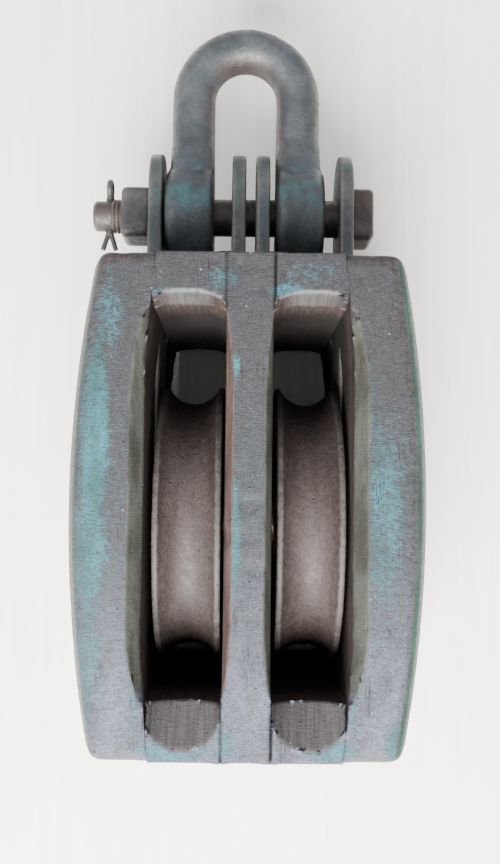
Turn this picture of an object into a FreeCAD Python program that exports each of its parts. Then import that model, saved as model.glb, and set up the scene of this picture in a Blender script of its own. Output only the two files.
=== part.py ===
"""Double-sheave wooden pulley block, iron-bound inside the shell, with a D shackle on a through bolt.

Frame: millimetres. The block lies on its back face, and the origin is the middle of that face.
+X runs along the sheave pin, +Y towards the shackle, +Z up through the shell to its front face.

The pieces are drawn standing on the tail end: X along the pin, Y from front face to back face,
Z up from the tail to the shackle. lay_down() turns each one into the frame above as it is written.
"""
import FreeCAD, Part
import math
import os

from FreeCAD import Vector

# ---- Shell ------------------------------------------------------------------------------------
shell_depth = 156.0             # front face to back face
half_thickness = 80.5           # middle of the shell to the fullest point of a cheek
cheek_bulge = 8.9               # how much thinner a cheek is at its two ends
cheek_section_radius = 282.0    # how round a cheek is from face to face
cheek_edge_radius = 5.5         # worn round along the two long edges
cheek_end_radius = 4.5          # worn round along the two ends
partition_thickness = 19.6
swallow_height = 23.9           # open way for the rope, from sheave to crown chock
tail_gap = 6.2                  # sheave to tail chock
chock_wedge = 0.09              # how fast the chocks widen inwards, mm per mm
wedge_run = 44.4                # how far in from each end the cheeks' inner faces slope
wood_joint = 0.05               # glue line between two pieces of wood
crown_chock_length = 23.8       # at the sides of its grooved end
crown_groove_rise = 3.9         # the end is hollowed by this much along its middle
crown_lead_step = 0.5           # the lead's edge at the faces, above the grooved end
crown_lead_rise = 6.8           # and how much closer it comes in the middle
arch_foot = 0.25                # shape of the arches: drop at the sides, as a share of the rise
arch_shoulder = 0.80            # height of the shoulders, as a share of the rise
arch_shoulder_place = 0.3       # shoulders from the middle, as a share of the span
tail_chock_length = 22.3
tail_lead_bottom = 5.3          # lowest point of the scooped lead above the tail end
lead_depth = 13.8               # how far the leads run in from each face
tail_lead_corner = 13.5         # corner radius of the scooped lead

# ---- Long bevels along the edges of the mortises ----------------------------------------------
bevel_depth = 8.0               # in from each face
cheek_bevel_width = 5.2         # across the face, at mid-length
partition_bevel_width = 2.8
bevel_tail_gap = 1.7            # tail chock to the start of a bevel
bevel_crown_gap = 0.4           # end of a bevel to the crown chock
bevel_tail_run = 33.0           # length of the taper at the tail
bevel_crown_run = 46.0          # length of the taper at the crown
bevel_taper_width = 0.72        # share of the full width at the middle point of a taper
bevel_tail_point = 0.45         # where that point is, as a share of the taper at the tail
bevel_crown_point = 0.4         # and at the crown

# ---- Straps -----------------------------------------------------------------------------------
strap_thickness = 6.8
strap_width = 39.0
outer_strap_proud = 1.2         # how far an outer strap stands out of the hollowed cheek
inner_strap_recess = 0.8        # how deep an inner strap lies below the partition's face
ear_top_above_bolt = 30.0
strap_tail_below_pin = 32.0     # strap end below the pin's axis
strap_fit = 0.1                 # gap all round a strap in the wood
strap_edge = 0.8                # broken edges of the ears

# ---- Sheaves, bushes and pin ------------------------------------------------------------------
pin_diameter = 15.9
pin_end_cover = 4.5             # pin end below the fullest point of the cheek
pin_fit = 0.05                  # radial, pin in wood and straps
pin_chamfer = 0.8
bush_fit = 0.05                 # radial, bush running on the pin
sheave_diameter = 127.0
sheave_thickness = 28.6
sheave_side_play = 2.8          # room beside a sheave, partition to outer strap less its thickness
left_sheave_gap = 1.3           # the part of it between partition and left sheave
right_sheave_gap = 2.3          # the part of it between partition and right sheave
groove_depth = 7.8
rim_land = 2.5                  # flat rim each side of the groove
rim_edge = 0.9                  # broken outer edges of the rim
hub_slope = 3.0                 # run of the slopes from web to hub and rim
rim_band = 15.0                 # radial height of the thick rim
web_recess = 4.0
hub_radius = 20.0
bush_radius = 12.5
bush_proud = 0.2

# ---- Pin cover plates and screws --------------------------------------------------------------
plate_length = 54.0
plate_width = 26.0
plate_thickness = 2.6
plate_sink = 0.4                # plate face below the fullest point of the cheek
plate_fit = 0.15
plate_screw_pitch = 40.0
plate_screw_diameter = 4.0
plate_screw_head = 7.8
plate_screw_slot = 1.0          # width of the driver slot
plate_screw_slot_depth = 0.9
plate_screw_tip_gap = 13.1      # screw tip to the back of the outer strap

# ---- Through rivets ---------------------------------------------------------------------------
rivet_diameter = 6.4
rivet_from_face = 27.0          # rivet line to the nearer face of the shell
crown_rivet_from_end = 10.5
tail_rivet_from_end = 11.0
rivet_fit = 0.05
rove_diameter = 16.0
rove_thickness = 1.6
rivet_head_diameter = 11.0
rivet_head_height = 2.2
rivet_sink = 5.0                # counterbore below the cheek where the rivet comes out

# ---- Shackle, bolt, nut and split pin ---------------------------------------------------------
bolt_above_crown = 35.0
shackle_rod = 21.0
shackle_bow_height = 57.2       # bolt axis to the centre of the bow
shackle_side_shift = -2.9       # the shackle has slid along its bolt, towards the nut
shackle_eye_radius = 24.0
shackle_eye_swell = 1.9         # how far an eye stands out beyond its leg
shackle_eye_round = 5.0
shackle_neck_radius = 18.0      # where a leg runs into its eye
shackle_neck_start = 10.0       # above the bolt's axis
shackle_neck_end = 12.0         # beyond the round of the eye
shackle_bore_fit = 0.1          # radial, eyes on the bolt
bolt_diameter = 17.7
bolt_head_flats = 24.6
bolt_head_thickness = 10.2
bolt_head_gap = 0.05            # head to ear
bolt_tip_chamfer = 1.2
bolt_fit = 0.1                  # radial, bolt in the ears
thread_step = 1.1               # thread thinner than the shank by this much
thread_pitch = 2.0
thread_depth = 0.9
thread_turns_showing = 2
thread_showing = 4.2            # length of thread beyond the nut
stub_step = 2.1                 # plain end thinner than the thread by this much
stub_beyond_nut = 13.7
nut_flats = 24.2
nut_thickness = 13.5
nut_gap = 0.05                  # nut to ear
nut_fit = 0.05                  # radial, nut on the thread
square_corner_radius = 3.2      # long corners of nut and bolt head
square_face_radius = 2.6        # round the outer face of nut and bolt head
split_pin_diameter = 4.0
split_pin_wire = 3.0            # thickness of its eye
split_pin_leg = 2.5             # thickness of one opened leg
split_pin_from_nut = 6.2
split_pin_fit = 0.15
split_pin_up = 18.1
split_pin_down = 16.5
split_pin_spread = 2.4          # how far each leg is bent aside
split_pin_split = 2.0           # below the bolt's end, where the legs part
split_pin_eye_radius = 3.4

# ---- Worked out -------------------------------------------------------------------------------
half_depth = shell_depth / 2
half_partition = partition_thickness / 2
sheave_radius = sheave_diameter / 2
pin_height = tail_chock_length + tail_gap + sheave_radius
shell_length = pin_height + sheave_radius + swallow_height + crown_chock_length
mid_height = shell_length / 2
end_half_thickness = half_thickness - cheek_bulge
bolt_height = shell_length + bolt_above_crown
section_axis_x = half_thickness - cheek_section_radius
outer_strap_face = half_partition + sheave_thickness + sheave_side_play
outer_strap_back = outer_strap_face + strap_thickness
inner_strap_face = half_partition - inner_strap_recess
inner_strap_back = inner_strap_face - strap_thickness
left_sheave_x = -(half_partition + left_sheave_gap + sheave_thickness / 2)
right_sheave_x = half_partition + right_sheave_gap + sheave_thickness / 2
mortise_outer_mid = outer_strap_face + outer_strap_proud
mortise_outer_end = mortise_outer_mid - chock_wedge * wedge_run
bevel_start = tail_chock_length + bevel_tail_gap
bevel_end = shell_length - crown_chock_length - bevel_crown_gap
plate_face_x = half_thickness - plate_sink
plate_screw_length = plate_face_x - outer_strap_back - plate_screw_tip_gap
shackle_leg_spacing = outer_strap_face + inner_strap_face
thread_diameter = bolt_diameter - thread_step
stub_diameter = thread_diameter - stub_step
bolt_head_x = outer_strap_back + bolt_head_gap
nut_x = -(outer_strap_back + nut_gap)
nut_face_x = nut_x - nut_thickness
thread_end_x = nut_face_x - thread_showing
stub_end_x = nut_face_x - stub_beyond_nut
split_pin_x = nut_face_x - split_pin_from_nut
rivet_y = half_depth - rivet_from_face
rivet_places = [
    (y, z)
    for z in (tail_rivet_from_end, shell_length - crown_rivet_from_end)
    for y in (-rivet_y, rivet_y)
]
overrun = 12.0                  # how far the bevels' cutters reach into the open mortise
UP = Vector(0, 0, 1)
ALONG = Vector(1, 0, 0)
THROUGH = Vector(0, 1, 0)


# ---- Helpers ----------------------------------------------------------------------------------
def box(x, y, z):
    """A box from three (low, high) pairs."""
    low = Vector(min(x), min(y), min(z))
    return Part.makeBox(abs(x[1] - x[0]), abs(y[1] - y[0]), abs(z[1] - z[0]), low)


def rod_x(radius, x, y, z):
    """A cylinder along X between the two values of x."""
    return Part.makeCylinder(radius, abs(x[1] - x[0]), Vector(min(x), y, z), ALONG)


def prism(points, run):
    """Extrude the closed outline through these points by the vector run."""
    outline = Part.makePolygon(points + [points[0]])
    return Part.Face(outline).extrude(run)


def smooth_edge(points):
    """One curved edge through the points."""
    curve = Part.BSplineCurve()
    curve.interpolate(points)
    return curve.toShape()


def mirror_x(shape):
    return shape.mirror(Vector(0, 0, 0), ALONG)


def mirror_y(shape):
    return shape.mirror(Vector(0, 0, 0), THROUGH)


def both_faces(shape):
    """The cutter and its mirror image at the other face of the shell."""
    return shape.fuse(mirror_y(shape))


def edges_where(shape, test):
    return [edge for edge in shape.Edges if test(edge)]


def local_cheek_x(y, z):
    """Where the outer surface of the right cheek is, above the point (y, z)."""
    arc_radius = (mid_height ** 2 + cheek_bulge ** 2) / (2 * cheek_bulge)
    profile = half_thickness - arc_radius + math.sqrt(arc_radius ** 2 - (z - mid_height) ** 2)
    reach = profile - section_axis_x
    return section_axis_x + math.sqrt(reach ** 2 - y ** 2)


# ---- Wooden shell -----------------------------------------------------------------------------
def barrel():
    """The full right half of the shell's outside, bulged lengthwise and from face to face."""
    inside = section_axis_x + 1
    tail = Vector(end_half_thickness, 0, 0)
    crown = Vector(end_half_thickness, 0, shell_length)
    middle = Vector(half_thickness, 0, mid_height)
    outline = Part.Wire([
        Part.makeLine(Vector(inside, 0, 0), tail),
        Part.Arc(tail, middle, crown).toShape(),
        Part.makeLine(crown, Vector(inside, 0, shell_length)),
        Part.makeLine(Vector(inside, 0, shell_length), Vector(inside, 0, 0)),
    ])
    face = Part.Face(outline)
    spread = math.degrees(math.asin(half_depth / (end_half_thickness - section_axis_x))) + 3
    face.rotate(Vector(section_axis_x, 0, 0), UP, -spread)
    return face.revolve(Vector(section_axis_x, 0, 0), UP, 2 * spread)


def mortise_side(reach):
    """Everything on the pin's side of the right cheek's hollowed inner face, out from X = -reach."""
    return prism([
        Vector(-reach, -shell_depth, -1),
        Vector(mortise_outer_end - chock_wedge, -shell_depth, -1),
        Vector(mortise_outer_mid, -shell_depth, wedge_run),
        Vector(mortise_outer_mid, -shell_depth, shell_length - wedge_run),
        Vector(mortise_outer_end - chock_wedge, -shell_depth, shell_length + 1),
        Vector(-reach, -shell_depth, shell_length + 1),
    ], THROUGH * (2 * shell_depth))


def bevel(wall_x, width, void_side):
    """Cutter for one long bevel at the front face; void_side is +1 or -1, away from the wood."""
    deep = wall_x + void_side * overrun
    full = wall_x - void_side * width
    low = bevel_start + bevel_tail_run
    high = bevel_end - bevel_crown_run
    taper_in = wall_x + void_side * 0.02
    part_way = wall_x - void_side * width * bevel_taper_width

    def at(x, z):
        return Vector(x, -half_depth, z)

    tail_run = smooth_edge([
        at(taper_in, bevel_start),
        at(part_way, bevel_start + bevel_tail_run * bevel_tail_point),
        at(full, low),
    ])
    crown_run = smooth_edge([
        at(full, high),
        at(part_way, bevel_end - bevel_crown_run * bevel_crown_point),
        at(taper_in, bevel_end),
    ])
    outline = Part.Wire([
        tail_run,
        Part.makeLine(at(full, low), at(full, high)),
        crown_run,
        Part.makeLine(at(taper_in, bevel_end), at(deep, bevel_end)),
        Part.makeLine(at(deep, bevel_end), at(deep, bevel_start)),
        Part.makeLine(at(deep, bevel_start), at(taper_in, bevel_start)),
    ])
    slope = Vector(void_side * width, bevel_depth, 0)
    cutter = Part.Face(outline).extrude(slope * 1.6)
    proud = Part.Face(outline).extrude(slope * -0.2)
    return both_faces(cutter.fuse(proud))


def strap_slot(face_x, back_x):
    """Room for one strap in the wood, open at the crown."""
    low = pin_height - strap_tail_below_pin - strap_fit
    x = (min(face_x, back_x) - strap_fit, max(face_x, back_x) + strap_fit)
    half = strap_width / 2 + strap_fit
    return box(x, (-half, half), (low, shell_length + 1))


def rivet_bores(reach):
    bores = [rod_x(rivet_diameter / 2 + rivet_fit, (-reach, reach), y, z) for y, z in rivet_places]
    return Part.makeCompound(bores)


def plate_outline(grow, x, depth):
    """The oval pin plate as a solid from x outwards by depth, grown by grow all round."""
    radius = plate_width / 2 + grow
    straight = (plate_length - plate_width) / 2
    body = box((x, x + depth), (-radius, radius), (pin_height - straight, pin_height + straight))
    for side in (-1, 1):
        body = body.fuse(rod_x(radius, (x, x + depth), 0, pin_height + side * straight))
    return body.removeSplitter()


def right_cheek():
    slab = box((mortise_outer_end - 2, half_thickness + 1), (-half_depth, half_depth), (0, shell_length))
    cheek = barrel().common(slab)
    long_edges = edges_where(cheek, lambda e: abs(abs(e.CenterOfMass.y) - half_depth) < 1e-3
                             and e.CenterOfMass.x > end_half_thickness - 20 and e.BoundBox.ZLength > 100)
    cheek = cheek.makeFillet(cheek_edge_radius, long_edges)
    end_edges = edges_where(cheek, lambda e: e.BoundBox.ZLength < 1e-3
                            and not isinstance(e.Curve, Part.Line))
    cheek = cheek.makeFillet(cheek_end_radius, end_edges)
    cheek = cheek.cut(mortise_side(10))
    cheek = cheek.cut(bevel(mortise_outer_mid, cheek_bevel_width, -1))
    cheek = cheek.cut(strap_slot(outer_strap_face, outer_strap_back))
    cheek = cheek.cut(rod_x(pin_diameter / 2 + pin_fit, (0, half_thickness + 1), 0, pin_height))
    plate_floor = plate_face_x - plate_thickness
    cheek = cheek.cut(plate_outline(plate_fit, plate_floor, plate_thickness + 2))
    for side in (-1, 1):
        z = pin_height + side * plate_screw_pitch / 2
        tip = plate_face_x - plate_screw_length
        cheek = cheek.cut(rod_x(plate_screw_diameter / 2 + pin_fit, (tip - 0.5, half_thickness), 0, z))
    for y, z in rivet_places:
        seat = local_cheek_x(y, z) - rivet_sink
        cheek = cheek.cut(rod_x(rivet_diameter / 2 + rivet_fit, (0, half_thickness), y, z))
        cheek = cheek.cut(rod_x(rove_diameter / 2 + plate_fit, (seat, half_thickness + 1), y, z))
    return cheek.removeSplitter()


def centre_partition():
    wood = box((-half_partition, half_partition), (-half_depth, half_depth), (0, shell_length))
    cutter = bevel(half_partition, partition_bevel_width, 1)
    wood = wood.cut(cutter).cut(mirror_x(cutter))
    for face, back in ((inner_strap_face, inner_strap_back), (-inner_strap_face, -inner_strap_back)):
        wood = wood.cut(strap_slot(face, back))
    wood = wood.cut(rod_x(pin_diameter / 2 + pin_fit, (-20, 20), 0, pin_height))
    return wood.cut(rivet_bores(20)).removeSplitter()


def right_chock_blank():
    """The wedge-sided space between partition and cheek, full length of the shell."""
    blank = mortise_side(0).common(box((half_partition + wood_joint, 60),
                                       (-half_depth, half_depth), (0, shell_length)))
    return blank.common(blank.translated(Vector(-wood_joint, 0, 0)))


def arch_wire(y, side_z, rise):
    """Closed outline in the plane Y = y: an arch over the rope's way, open space below it."""
    x0 = half_partition - 2
    x1 = mortise_outer_mid + 2
    low = mid_height
    middle = (x0 + x1) / 2
    shoulder = (x1 - x0) * arch_shoulder_place
    foot_z = side_z - rise * arch_foot

    def at(x, z):
        return Vector(x, y, z)

    arch = smooth_edge([
        at(x0, foot_z),
        at(middle - shoulder, side_z + rise * arch_shoulder),
        at(middle, side_z + rise),
        at(middle + shoulder, side_z + rise * arch_shoulder),
        at(x1, foot_z),
    ])
    return Part.Wire([
        arch,
        Part.makeLine(at(x1, foot_z), at(x1, low)),
        Part.makeLine(at(x1, low), at(x0, low)),
        Part.makeLine(at(x0, low), at(x0, foot_z)),
    ])


def right_crown_chock():
    blank = right_chock_blank().common(box((0, 60), (-half_depth, half_depth), (mid_height, shell_length)))
    throat_side = shell_length - crown_chock_length
    lead_side = throat_side + crown_lead_step
    inner = half_depth - lead_depth
    throat = Part.Face(arch_wire(-inner, throat_side, crown_groove_rise)).extrude(THROUGH * (2 * inner))
    lead = Part.makeLoft([
        arch_wire(-half_depth, lead_side, crown_lead_rise),
        arch_wire(-inner, throat_side, crown_groove_rise),
    ], True, True)
    chock = blank.cut(throat).cut(lead).cut(mirror_y(lead))
    return chock.cut(rivet_bores(60)).removeSplitter()


def right_tail_chock():
    blank = right_chock_blank().common(box((0, 60), (-half_depth, half_depth), (0, tail_chock_length)))
    x0 = half_partition + wood_joint + 0.3
    x1 = mortise_outer_end + chock_wedge * tail_chock_length - 0.3
    top = tail_chock_length + 2 * (tail_chock_length - tail_lead_bottom)
    y = -half_depth
    scoop = box((x0, x1), (y, y + 1), (tail_lead_bottom, top))
    corners = edges_where(scoop, lambda e: abs(e.CenterOfMass.z - tail_lead_bottom) < 1e-6
                          and e.BoundBox.YLength > 0.5)
    outline = scoop.makeFillet(tail_lead_corner, corners)
    face = min(outline.Faces, key=lambda f: f.CenterOfMass.y)
    slope = Vector(0, lead_depth, tail_chock_length - tail_lead_bottom)
    cutter = face.extrude(slope * 1.5).fuse(face.extrude(slope * -0.1))
    chock = blank.cut(both_faces(cutter))
    return chock.cut(rivet_bores(60)).removeSplitter()


# ---- Iron work --------------------------------------------------------------------------------
def strap(face_x, back_x):
    """One flat strap, its round-topped ear standing out of the crown."""
    x = (min(face_x, back_x), max(face_x, back_x))
    radius = strap_width / 2
    ear_centre = bolt_height + ear_top_above_bolt - radius
    low = pin_height - strap_tail_below_pin
    body = box(x, (-radius, radius), (low, ear_centre))
    body = body.fuse(rod_x(radius, x, 0, ear_centre)).removeSplitter()
    ear_edges = edges_where(body, lambda e: e.BoundBox.XLength < 1e-6 and e.BoundBox.ZMax > shell_length)
    body = body.makeFillet(strap_edge, ear_edges)
    body = body.cut(rod_x(pin_diameter / 2 + pin_fit, (x[0] - 1, x[1] + 1), 0, pin_height))
    return body.cut(rod_x(bolt_diameter / 2 + bolt_fit, (x[0] - 1, x[1] + 1), 0, bolt_height))


def sheave(centre_x):
    """A grooved cast sheave, bored for its bush."""
    radius = sheave_radius
    half = sheave_thickness / 2
    bore = bush_radius
    web = half - web_recess
    rim_inner = radius - rim_band
    groove_half = half - rim_land

    def at(x, r):
        return Vector(x, 0, r)

    right_side = [
        at(0, bore), at(half, bore), at(half, hub_radius), at(web, hub_radius + hub_slope),
        at(web, rim_inner - hub_slope), at(half, rim_inner), at(half, radius - rim_edge),
        at(half - rim_edge, radius), at(groove_half, radius),
    ]
    lines = [Part.makeLine(a, b) for a, b in zip(right_side, right_side[1:])]
    lines += [line.mirror(Vector(0, 0, 0), ALONG) for line in lines]
    lip = at(groove_half, radius)
    floor = at(0, radius - groove_depth)
    across = at(-lip.x, lip.z)
    lines.append(Part.Arc(lip, floor, across).toShape())
    outline = Part.Wire(Part.__sortEdges__(lines))
    wheel = Part.Face(outline).revolve(Vector(0, 0, 0), ALONG, 360)
    wheel.translate(Vector(centre_x, 0, pin_height))
    return wheel


def bush(centre_x):
    half = sheave_thickness / 2 + bush_proud
    x = (centre_x - half, centre_x + half)
    tube = rod_x(bush_radius, x, 0, pin_height)
    return tube.cut(rod_x(pin_diameter / 2 + bush_fit, (x[0] - 1, x[1] + 1), 0, pin_height))


def sheave_pin():
    end = half_thickness - pin_end_cover
    pin = rod_x(pin_diameter / 2, (-end, end), 0, pin_height)
    rims = edges_where(pin, lambda e: e.BoundBox.XLength < 1e-6)
    return pin.makeChamfer(pin_chamfer, rims)


def right_pin_plate():
    plate = plate_outline(0, plate_face_x - plate_thickness, plate_thickness)
    for side in (-1, 1):
        z = pin_height + side * plate_screw_pitch / 2
        plate = plate.cut(screw(plate_face_x, z, plate_fit))
    return plate


def screw(face_x, z, grow):
    """A countersunk wood screw with its head flush at face_x, pointing to the pin line."""
    head = plate_screw_head / 2 + grow
    shank = plate_screw_diameter / 2 + grow
    cone_depth = (plate_screw_head - plate_screw_diameter) / 2
    cone = Part.makeCone(shank, head, cone_depth, Vector(face_x - cone_depth, 0, z), ALONG)
    return cone.fuse(rod_x(shank, (face_x - plate_screw_length, face_x - cone_depth), 0, z))


def right_plate_screws():
    screws = []
    for side in (-1, 1):
        z = pin_height + side * plate_screw_pitch / 2
        slot = box((plate_face_x - plate_screw_slot_depth, plate_face_x + 1),
                   (-plate_screw_slot / 2, plate_screw_slot / 2),
                   (z - plate_screw_head, z + plate_screw_head))
        screws.append(screw(plate_face_x, z, 0).cut(slot))
    return screws


def rivets(z):
    """The two through rivets at height z, dome-headed at both ends."""
    solids = []
    for y in (-rivet_y, rivet_y):
        seat = local_cheek_x(y, z) - rivet_sink + rove_thickness
        head = rivet_head_diameter / 2
        crown = seat + rivet_head_height
        dome_radius = (head ** 2 + rivet_head_height ** 2) / (2 * rivet_head_height)
        half_angle = math.asin(head / dome_radius) / 2
        sagitta = dome_radius * (1 - math.cos(half_angle))
        mid = Vector(crown - sagitta, y, z + dome_radius * math.sin(half_angle))
        shank = z + rivet_diameter / 2
        right_dome = Part.Arc(Vector(crown, y, z), mid, Vector(seat, y, z + head)).toShape()
        right_step = Part.makeLine(Vector(seat, y, z + head), Vector(seat, y, shank))
        outline = Part.Wire(Part.__sortEdges__([
            Part.makeLine(Vector(-crown, y, z), Vector(crown, y, z)),
            right_dome,
            right_step,
            Part.makeLine(Vector(seat, y, shank), Vector(-seat, y, shank)),
            mirror_x(right_step),
            mirror_x(right_dome),
        ]))
        solids.append(Part.Face(outline).revolve(Vector(0, y, z), ALONG, 360))
    return solids


def roves():
    """The washers under the rivet heads."""
    rings = []
    for y, z in rivet_places:
        seat = local_cheek_x(y, z) - rivet_sink
        for side in (-1, 1):
            x = (side * seat, side * (seat + rove_thickness))
            disc = rod_x(rove_diameter / 2, x, y, z)
            rings.append(disc.cut(rod_x(rivet_diameter / 2 + rivet_fit, (x[0] - side, x[1] + side), y, z)))
    return rings


def shackle():
    """A forged D shackle: bow, two legs that swell into round eyes, bored for the bolt."""
    leg_x = shackle_leg_spacing / 2
    radius = shackle_rod / 2
    middle = shackle_side_shift
    bow_z = bolt_height + shackle_bow_height
    leg_start = bolt_height + shackle_eye_radius / 2
    neck_base = bolt_height + shackle_neck_start
    neck_top = bolt_height + shackle_eye_radius + shackle_neck_end
    circle = Part.Wire(Part.makeCircle(radius, Vector(middle + leg_x, 0, bow_z), UP))
    body = Part.Face(circle).revolve(Vector(middle, 0, bow_z), Vector(0, -1, 0), 180)
    for side in (-1, 1):
        x = middle + side * leg_x
        leg = Part.makeCylinder(radius, bow_z - leg_start, Vector(x, 0, leg_start), UP)
        neck = Part.makeCone(shackle_neck_radius, radius, neck_top - neck_base, Vector(x, 0, neck_base), UP)
        through = (-shackle_eye_radius, shackle_eye_radius)
        neck = neck.common(box((x - radius, x + radius), through, (neck_base, neck_top)))
        eye_x = (x - side * radius, x + side * (radius + shackle_eye_swell))
        eye = rod_x(shackle_eye_radius, eye_x, 0, bolt_height)
        eye = eye.makeFillet(shackle_eye_round, edges_where(eye, lambda e: e.BoundBox.XLength < 1e-6))
        body = body.fuse(leg).fuse(neck).fuse(eye)
    reach = leg_x + shackle_rod
    bore_x = (middle - reach, middle + reach)
    bore = rod_x(bolt_diameter / 2 + shackle_bore_fit, bore_x, 0, bolt_height)
    return body.cut(bore).removeSplitter()


def square_block(inner_x, outer_x, flats):
    """A square block on the bolt's axis, its corners and the edges of its outer face worn round."""
    half = flats / 2
    block = box((inner_x, outer_x), (-half, half), (bolt_height - half, bolt_height + half))
    corners = edges_where(block, lambda e: e.BoundBox.XLength > 1)
    block = block.makeFillet(square_corner_radius, corners)
    outer = edges_where(block, lambda e: abs(e.CenterOfMass.x - outer_x) < 1e-6)
    return block.makeFillet(square_face_radius, outer)


def shackle_bolt():
    """Square-headed bolt with a threaded end and a thinner plain tip for the split pin."""
    head = square_block(bolt_head_x, bolt_head_x + bolt_head_thickness, bolt_head_flats)
    shoulder = nut_x + nut_gap
    body = head.fuse(rod_x(bolt_diameter / 2, (shoulder, bolt_head_x), 0, bolt_height))
    body = body.fuse(rod_x(thread_diameter / 2, (thread_end_x, shoulder), 0, bolt_height))
    body = body.fuse(rod_x(stub_diameter / 2, (stub_end_x, thread_end_x), 0, bolt_height))
    body = body.removeSplitter()
    tip = edges_where(body, lambda e: e.BoundBox.XMax < stub_end_x + 1e-6)
    body = body.makeChamfer(bolt_tip_chamfer, tip)
    crest = thread_diameter / 2 + thread_depth / 2
    root = thread_diameter / 2 - thread_depth
    half_pitch = thread_pitch / 2
    for turn in range(thread_turns_showing):
        x = nut_face_x - thread_pitch * turn - half_pitch
        groove = Part.Face(Part.makePolygon([
            Vector(x - half_pitch, 0, bolt_height + crest),
            Vector(x, 0, bolt_height + root),
            Vector(x + half_pitch, 0, bolt_height + crest),
            Vector(x - half_pitch, 0, bolt_height + crest),
        ])).revolve(Vector(0, 0, bolt_height), ALONG, 360)
        body = body.cut(groove)
    hole = Part.makeCylinder(split_pin_diameter / 2 + split_pin_fit, 2 * bolt_diameter,
                             Vector(split_pin_x, 0, bolt_height - bolt_diameter), UP)
    return body.cut(hole)


def bolt_nut():
    nut = square_block(nut_x, nut_face_x, nut_flats)
    return nut.cut(rod_x(thread_diameter / 2 + nut_fit, (nut_face_x - 1, nut_x + 1), 0, bolt_height))


def split_pin():
    """A split pin: round eye above the bolt's end, shank through it, two legs opened below."""
    eye_z = bolt_height + split_pin_up - split_pin_eye_radius - split_pin_wire / 2
    low = bolt_height - stub_diameter / 2 - split_pin_split
    shank_top = eye_z - split_pin_eye_radius
    body = Part.makeCylinder(split_pin_diameter / 2, shank_top - low, Vector(split_pin_x, 0, low), UP)
    body = body.fuse(Part.makeTorus(split_pin_eye_radius, split_pin_wire / 2,
                                    Vector(split_pin_x, 0, eye_z), ALONG))
    for side in (-1, 1):
        aside = side * (split_pin_diameter - split_pin_leg) / 2
        start = Vector(split_pin_x + aside, 0, low + split_pin_leg / 4)
        leg_run = Vector(side * split_pin_spread, 0, bolt_height - split_pin_down - start.z)
        body = body.fuse(Part.makeCylinder(split_pin_leg / 2, leg_run.Length, start, leg_run))
    return body.removeSplitter()


# ---- Write one STEP per node ------------------------------------------------------------------
def lay_down(shape):
    """From the drawing axes to the written frame: on the back face, origin in the middle of it."""
    laid = shape.copy()
    laid.rotate(Vector(0, 0, 0), ALONG, -90)
    laid.translate(Vector(0, -mid_height, half_depth))
    return laid


def save(name, shape):
    """Write one node; a list of solids becomes one group."""
    if isinstance(shape, list):
        shape = Part.makeCompound(shape)
    solids = shape.Solids
    if not solids or not shape.isValid():
        raise ValueError(name + " is not a valid solid")
    if len(solids) == 1:
        shape = solids[0]
    shape = lay_down(shape)
    shape.exportStep("parts/" + name + ".step")
    print(name, len(solids), "solid(s)", round(shape.Volume / 1000, 2), "cm3")


def main():
    os.makedirs("parts", exist_ok=True)
    cheek = right_cheek()
    crown_chock = right_crown_chock()
    tail_chock = right_tail_chock()
    plate = right_pin_plate()
    plate_screws = right_plate_screws()
    nodes = {
        "cheek_right": cheek,
        "cheek_left": mirror_x(cheek),
        "centre_partition": centre_partition(),
        "crown_chock_right": crown_chock,
        "crown_chock_left": mirror_x(crown_chock),
        "tail_chock_right": tail_chock,
        "tail_chock_left": mirror_x(tail_chock),
        "strap_outer_right": strap(outer_strap_face, outer_strap_back),
        "strap_inner_right": strap(inner_strap_face, inner_strap_back),
        "strap_inner_left": strap(-inner_strap_face, -inner_strap_back),
        "strap_outer_left": strap(-outer_strap_face, -outer_strap_back),
        "sheave_left": sheave(left_sheave_x),
        "sheave_right": sheave(right_sheave_x),
        "bush_left": bush(left_sheave_x),
        "bush_right": bush(right_sheave_x),
        "sheave_pin": sheave_pin(),
        "pin_plate_right": plate,
        "pin_plate_left": mirror_x(plate),
        "plate_screws_right": plate_screws,
        "plate_screws_left": [mirror_x(one) for one in plate_screws],
        "crown_rivets": rivets(shell_length - crown_rivet_from_end),
        "tail_rivets": rivets(tail_rivet_from_end),
        "rivet_roves": roves(),
        "shackle": shackle(),
        "shackle_bolt": shackle_bolt(),
        "bolt_nut": bolt_nut(),
        "split_pin": split_pin(),
    }
    for name, shape in nodes.items():
        save(name, shape)


main()
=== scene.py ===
"""The looks of a weathered double-sheave wooden pulley block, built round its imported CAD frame.

Frame: metres. +X along the sheave pin, +Y towards the shackle, +Z up from the floor that the block lies on.
"""
import math

import bmesh
import bpy
import numpy as np
from mathutils import Matrix, Vector
from mathutils.bvhtree import BVHTree
from mathutils.kdtree import KDTree


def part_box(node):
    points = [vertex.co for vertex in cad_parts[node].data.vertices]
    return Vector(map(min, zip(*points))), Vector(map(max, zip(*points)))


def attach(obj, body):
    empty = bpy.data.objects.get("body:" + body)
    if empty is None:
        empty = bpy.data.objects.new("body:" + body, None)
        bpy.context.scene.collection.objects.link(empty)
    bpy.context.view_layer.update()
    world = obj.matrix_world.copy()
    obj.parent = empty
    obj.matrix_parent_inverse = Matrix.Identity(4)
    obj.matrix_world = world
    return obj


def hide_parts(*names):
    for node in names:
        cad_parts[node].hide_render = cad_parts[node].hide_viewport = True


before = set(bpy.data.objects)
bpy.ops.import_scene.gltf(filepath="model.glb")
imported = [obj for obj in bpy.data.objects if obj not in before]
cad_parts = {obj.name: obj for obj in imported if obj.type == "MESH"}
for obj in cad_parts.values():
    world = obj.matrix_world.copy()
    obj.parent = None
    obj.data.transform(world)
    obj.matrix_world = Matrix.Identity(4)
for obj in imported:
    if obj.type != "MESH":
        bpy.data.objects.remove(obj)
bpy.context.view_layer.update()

MM = 0.001


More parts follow.
